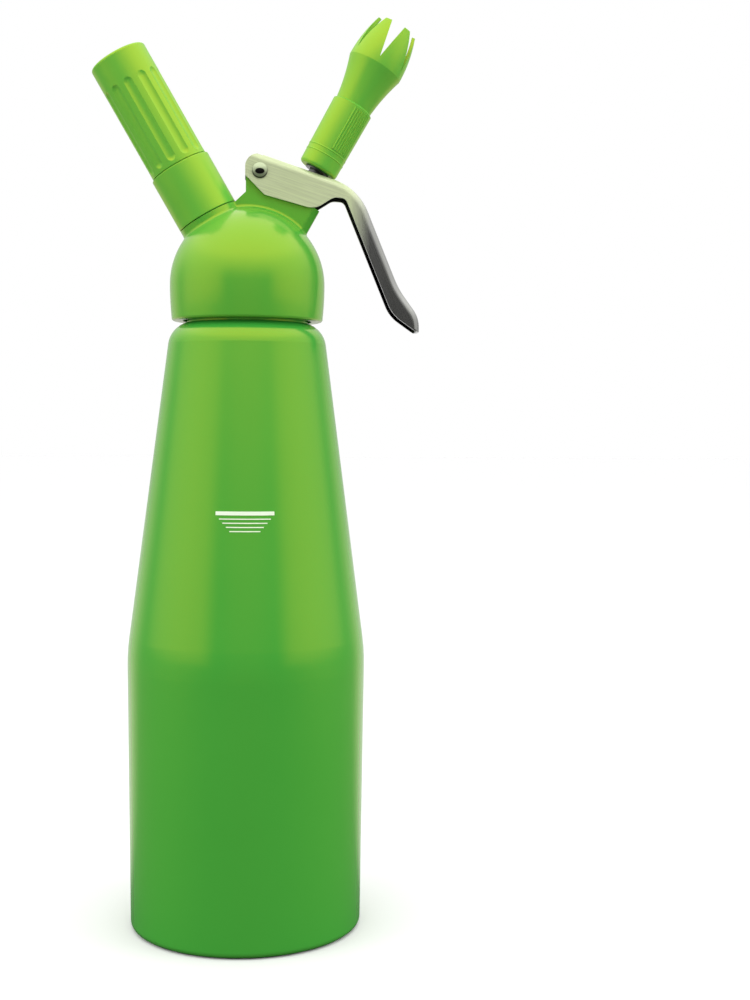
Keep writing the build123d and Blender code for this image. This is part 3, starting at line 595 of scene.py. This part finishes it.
# %% Mix the pin's finish
# A painted reflection darkens the middle of the head, and a painted shadow darkens the rim outside the second oval.
PIN_PAINTED_DARK = colour(0.012, 0.012, 0.010)
DARK_REFLECTION_SPOT = {"drop": 0.0004, "half_width": 0.0018, "half_height": 0.0011}
RIM_SHADOW_EDGE = {"drop": -0.0003, "half_width": 0.0029, "half_height": 0.0029}

pin_steel, tree, shader = new_finish(
    "pin_steel", (0.50, 0.57, 0.36), (0.44, 0.51, 0.31), roughness=0.30, Metallic=0.8
)
satin_tone = tones_of(shader).outputs["Color"]
reflection_spot_tone = mix_colours(tree, outside_oval(tree, **DARK_REFLECTION_SPOT), PIN_PAINTED_DARK, satin_tone)
rim_shadow_tone = mix_colours(tree, outside_oval(tree, **RIM_SHADOW_EDGE), reflection_spot_tone, PIN_PAINTED_DARK)
tree.links.new(rim_shadow_tone, shader.inputs["Base Color"])
add_grain(tree, shader, object_place(tree), scale=1500.0, strength=0.06)
print("pin:", len(tree.nodes), "nodes")

# %% [markdown]
# ### The other metals and the rubber
#
# The stem and its flange are turned, so their marks run round the leaning axis. Their tone is kept near black as
# painted shade, since they sit in the shadow between the tip and the lever's web. Pins, springs and the charger are
# plated or drawn, the injector is brass, and the seals are black rubber with a dusty bloom. Each could be written out
# in full, but four of the metals differ only in their numbers, so a table and a loop mix them.

# %% Mix the turned steel
NOZZLE_ORIGIN = (0.0, 0.0, 0.2483)  # where the leaning axis crosses the upright one
NOZZLE_LEAN = radians(29.0)
ROUND_GRAIN = (30.0, 30.0, 1.0)

# The near-black tones are painted shade for the stem and flange, which lie in shadow under the tip.
shaded_turned_steel, tree, shader = new_finish(
    "shaded_turned_steel", (0.13, 0.13, 0.125), (0.10, 0.10, 0.098), roughness=0.30, Metallic=1.0
)
around_nozzle = leaning_place(tree, NOZZLE_ORIGIN, NOZZLE_LEAN, ROUND_GRAIN)
add_grain(tree, shader, around_nozzle, scale=2500.0, strength=0.25)
print("turned:", shaded_turned_steel.name)

# %% Mix the metals whose grain runs every way
PLAIN_METALS = {  # name: tone, second tone, roughness, grain scale and grain strength
    "polished_steel": ((0.66, 0.66, 0.64), (0.58, 0.58, 0.56), 0.16, 1500.0, 0.06),
    "spring_steel": ((0.42, 0.42, 0.42), (0.33, 0.33, 0.34), 0.30, 3500.0, 0.15),
    "plated_steel": ((0.60, 0.60, 0.60), (0.53, 0.53, 0.54), 0.22, 1200.0, 0.08),
    "machined_brass": ((0.72, 0.50, 0.20), (0.62, 0.42, 0.16), 0.26, 2200.0, 0.12),
}
plain_metal = {}
for name, (tone, second_tone, roughness, grain_scale, grain_strength) in PLAIN_METALS.items():
    plain_metal[name], tree, shader = new_finish(name, tone, second_tone, roughness, Metallic=1.0)
    add_grain(tree, shader, object_place(tree), grain_scale, grain_strength)
print("plain metals:", len(plain_metal))

# %% Mix the rubber and the paint
seal_rubber, tree, shader = new_finish(
    "seal_rubber", (0.020, 0.020, 0.020), (0.032, 0.032, 0.031), roughness=0.62, spread=0.15, patch_scale=180.0
)
add_grain(tree, shader, object_place(tree), scale=3000.0, strength=0.10)

mark_paint, tree, shader = new_finish(
    "mark_paint", (0.78, 0.86, 0.70), (0.70, 0.82, 0.60), roughness=0.42, spread=0.05, patch_scale=400.0
)
add_grain(tree, shader, object_place(tree), scale=5000.0, strength=0.05)
print("materials in all:", len(bpy.data.materials))

# %% [markdown]
# ## Dress the imported pieces
#
# The imported record says which material slot every piece belongs to. Each piece could be given its finish by name, but
# a table from slot to finish dresses them all and forgets none, the hidden springs and seals too, since they show
# when the head is taken apart. Only the head and the pivot pin have a finish apart from their slot's: the head's
# lighter coat is painted light, and the pin's carries a painted reflection and shadow.

# %% Dress every imported piece
FINISH_OF_SLOT = {
    "green_enamel": bottle_coat,
    "green_plastic": green_plastic,
    "lever_steel": lever_steel,
    "stem_steel": shaded_turned_steel,
    "pin_steel": plain_metal["polished_steel"],
    "spring_steel": plain_metal["spring_steel"],
    "charger_steel": plain_metal["plated_steel"],
    "brass_fitting": plain_metal["machined_brass"],
    "seal_rubber": seal_rubber,
}
FINISH_OF_PIECE = {"head_shell": head_coat_painted_light, "pivot_pin": pin_steel}
slot_of_node = {part["node"]: part["material_slot"] for part in frame["record"]["subparts"]}
for name, piece in frame["nodes"].items():
    finish = FINISH_OF_PIECE.get(name, FINISH_OF_SLOT[slot_of_node[name]])
    if piece.material_slots:
        for slot in piece.material_slots:
            slot.material = finish
    else:
        piece.data.materials.append(finish)
print("dressed", len(frame["nodes"]), "pieces")

# %% [markdown]
# ## The fill marks
#
# A thick white bar is printed where the bottle is full, with four thin ones under it, each a little shorter. A mask in
# the coat could paint them, but a print with faces of its own keeps such thin lines crisp. They follow one rule, so
# Geometry Nodes makes them: flat strips are set out in a plane whose x is an angle round the bottle and whose y is a
# height, and then wrapped onto the cone. The words beside them are left off.

# %% Sizes of the marks
MARK_CENTRE = radians(-1.1)
BAR_HEIGHT = 0.16505
BAR_HALF_ANGLE = radians(16.0)
BAR_THICKNESS = 0.00142
LINE_DROP = 0.00208
LINE_SPACING = 0.00151
LINE_HALF_ANGLE = radians(15.9)
LINE_SHORTENING = radians(1.94)
LINE_THICKNESS = 0.00038
LINE_COUNT = 4
CONE_START = 0.1086
CONE_RADIUS = 0.0466
CONE_SLOPE = tan(radians(7.5))
PAINT_GAP = 0.00003
PAINT_THICKNESS = 0.00004
STRIP_POINTS = 25
WELD_DISTANCE = 1e-6
print("marks from", round(BAR_HEIGHT - LINE_DROP - LINE_SPACING * (LINE_COUNT - 1), 4), "to", BAR_HEIGHT, "m up")

# %% Start the tree that prints them
marks_tree = bpy.data.node_groups.new("fill_marks", "GeometryNodeTree")
MARK_INPUTS = {
    "Line Count": ("NodeSocketInt", LINE_COUNT + 1),
    "Centre": ("NodeSocketFloat", MARK_CENTRE),
    "Bar Height": ("NodeSocketFloat", BAR_HEIGHT),
    "Bar Half Angle": ("NodeSocketFloat", BAR_HALF_ANGLE),
    "Bar Thickness": ("NodeSocketFloat", BAR_THICKNESS),
    "Line Drop": ("NodeSocketFloat", LINE_DROP - LINE_SPACING),
    "Line Spacing": ("NodeSocketFloat", LINE_SPACING),
    "Line Half Angle": ("NodeSocketFloat", LINE_HALF_ANGLE),
    "Line Shortening": ("NodeSocketFloat", LINE_SHORTENING),
    "Line Thickness": ("NodeSocketFloat", LINE_THICKNESS),
    "Paint Thickness": ("NodeSocketFloat", PAINT_THICKNESS),
    "Paint": ("NodeSocketMaterial", None),
}
marks_tree.interface.new_socket("Geometry", in_out="INPUT", socket_type="NodeSocketGeometry")
for name, (kind, value) in MARK_INPUTS.items():
    marks_tree.interface.new_socket(name, in_out="INPUT", socket_type=kind)
marks_tree.interface.new_socket("Geometry", in_out="OUTPUT", socket_type="NodeSocketGeometry")
given = add_node(marks_tree, "NodeGroupInput").outputs
print("fill mark inputs:", len(MARK_INPUTS))

# %% Give each strip its height, length and thickness
index = add_node(marks_tree, "GeometryNodeInputIndex").outputs["Index"]
is_line = maths(marks_tree, "GREATER_THAN", index, 0.5)


def pick(for_bar, for_line):
    """One value for the bar, which comes first, and another for the lines."""
    choice = {"Switch": is_line, "False": for_bar, "True": for_line}
    return add_node(marks_tree, "GeometryNodeSwitch", choice, input_type="FLOAT").outputs["Output"]


line_drop = maths(marks_tree, "MULTIPLY_ADD", index, given["Line Spacing"], given["Line Drop"])
line_height = maths(marks_tree, "SUBTRACT", given["Bar Height"], line_drop)
line_loss = maths(marks_tree, "MULTIPLY", index, given["Line Shortening"])
line_half = maths(marks_tree, "SUBTRACT", given["Line Half Angle"], line_loss)
strip_height = pick(given["Bar Height"], line_height)
strip_half = pick(given["Bar Half Angle"], line_half)
strip_thickness = pick(given["Bar Thickness"], given["Line Thickness"])
print("strip rules:", len(marks_tree.nodes), "nodes")

# %% Set out flat strips
seeds = add_node(marks_tree, "GeometryNodeMeshLine", {"Count": given["Line Count"]})
seed_place = add_node(marks_tree, "ShaderNodeCombineXYZ", {"X": given["Centre"], "Y": strip_height})
placed_seeds = add_node(
    marks_tree,
    "GeometryNodeSetPosition",
    {"Geometry": seeds.outputs["Mesh"], "Position": seed_place.outputs["Vector"]},
)
strip_size = {"Size X": 2.0, "Size Y": 1.0, "Vertices X": STRIP_POINTS, "Vertices Y": 2}  # scaled by half its angle
strip = add_node(marks_tree, "GeometryNodeMeshGrid", strip_size)
strip_scale = add_node(marks_tree, "ShaderNodeCombineXYZ", {"X": strip_half, "Y": strip_thickness, "Z": 1.0})
strips = add_node(
    marks_tree,
    "GeometryNodeInstanceOnPoints",
    {
        "Points": placed_seeds.outputs["Geometry"],
        "Instance": strip.outputs["Mesh"],
        "Scale": strip_scale.outputs["Vector"],
    },
)
real_strips = add_node(marks_tree, "GeometryNodeRealizeInstances", {"Geometry": strips.outputs["Instances"]})
print("strips have", STRIP_POINTS, "points along them")

# %% Wrap them onto the cone
flat = axes_of(marks_tree, add_node(marks_tree, "GeometryNodeInputPosition").outputs["Position"])
above_start = maths(marks_tree, "SUBTRACT", flat["Y"], CONE_START)
cone_radius = maths(marks_tree, "MULTIPLY_ADD", above_start, -CONE_SLOPE, CONE_RADIUS + PAINT_GAP)
wrapped_x = maths(marks_tree, "MULTIPLY", maths(marks_tree, "SINE", flat["X"]), cone_radius)
behind = maths(marks_tree, "MULTIPLY", maths(marks_tree, "COSINE", flat["X"]), cone_radius)
wrapped_y = maths(marks_tree, "MULTIPLY", behind, -1.0)
wrapped = add_node(marks_tree, "ShaderNodeCombineXYZ", {"X": wrapped_x, "Y": wrapped_y, "Z": flat["Y"]})
on_cone = add_node(
    marks_tree,
    "GeometryNodeSetPosition",
    {"Geometry": real_strips.outputs["Geometry"], "Position": wrapped.outputs["Vector"]},
)
print("cone radius at its start", CONE_RADIUS)

# %% Give them the paint's thickness
raised = add_node(
    marks_tree,
    "GeometryNodeExtrudeMesh",
    {"Mesh": on_cone.outputs["Geometry"], "Offset Scale": given["Paint Thickness"], "Individual": False},
)
underside = add_node(marks_tree, "GeometryNodeFlipFaces", {"Mesh": on_cone.outputs["Geometry"]})
both_sides = add_node(marks_tree, "GeometryNodeJoinGeometry")
marks_tree.links.new(raised.outputs["Mesh"], both_sides.inputs["Geometry"])
marks_tree.links.new(underside.outputs["Mesh"], both_sides.inputs["Geometry"])
weld_values = {"Geometry": both_sides.outputs["Geometry"], "Distance": WELD_DISTANCE}
welded = add_node(marks_tree, "GeometryNodeMergeByDistance", weld_values)
paint_values = {"Geometry": welded.outputs["Geometry"], "Material": given["Paint"]}
painted = add_node(marks_tree, "GeometryNodeSetMaterial", paint_values)
add_node(marks_tree, "NodeGroupOutput", {"Geometry": painted.outputs["Geometry"]})
print("fill mark tree:", len(marks_tree.nodes), "nodes")


# %% Run the tree and keep a plain mesh
def run_tree(name, tree, values):
    """Puts the tree on an empty mesh, fills its inputs by their identifiers and returns the plain result."""
    holder = bpy.data.objects.new(name + "_holder", bpy.data.meshes.new(name + "_holder"))
    scene.collection.objects.link(holder)
    modifier = holder.modifiers.new("tree", "NODES")
    modifier.node_group = tree
    for item in tree.interface.items_tree:
        if item.in_out == "INPUT" and item.name in values:
            modifier[item.identifier] = values[item.name]
    evaluated = holder.evaluated_get(bpy.context.evaluated_depsgraph_get())
    mesh = bpy.data.meshes.new_from_object(evaluated)
    mesh.name = name
    bpy.data.objects.remove(holder)
    piece = bpy.data.objects.new(name, mesh)
    scene.collection.objects.link(piece)
    return piece


mark_values = {name: value for name, (kind, value) in MARK_INPUTS.items()}
mark_values["Paint"] = mark_paint
fill_marks = run_tree("fill_marks", marks_tree, mark_values)
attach(fill_marks, "bottle")
print("fill marks", len(fill_marks.data.polygons), "faces")
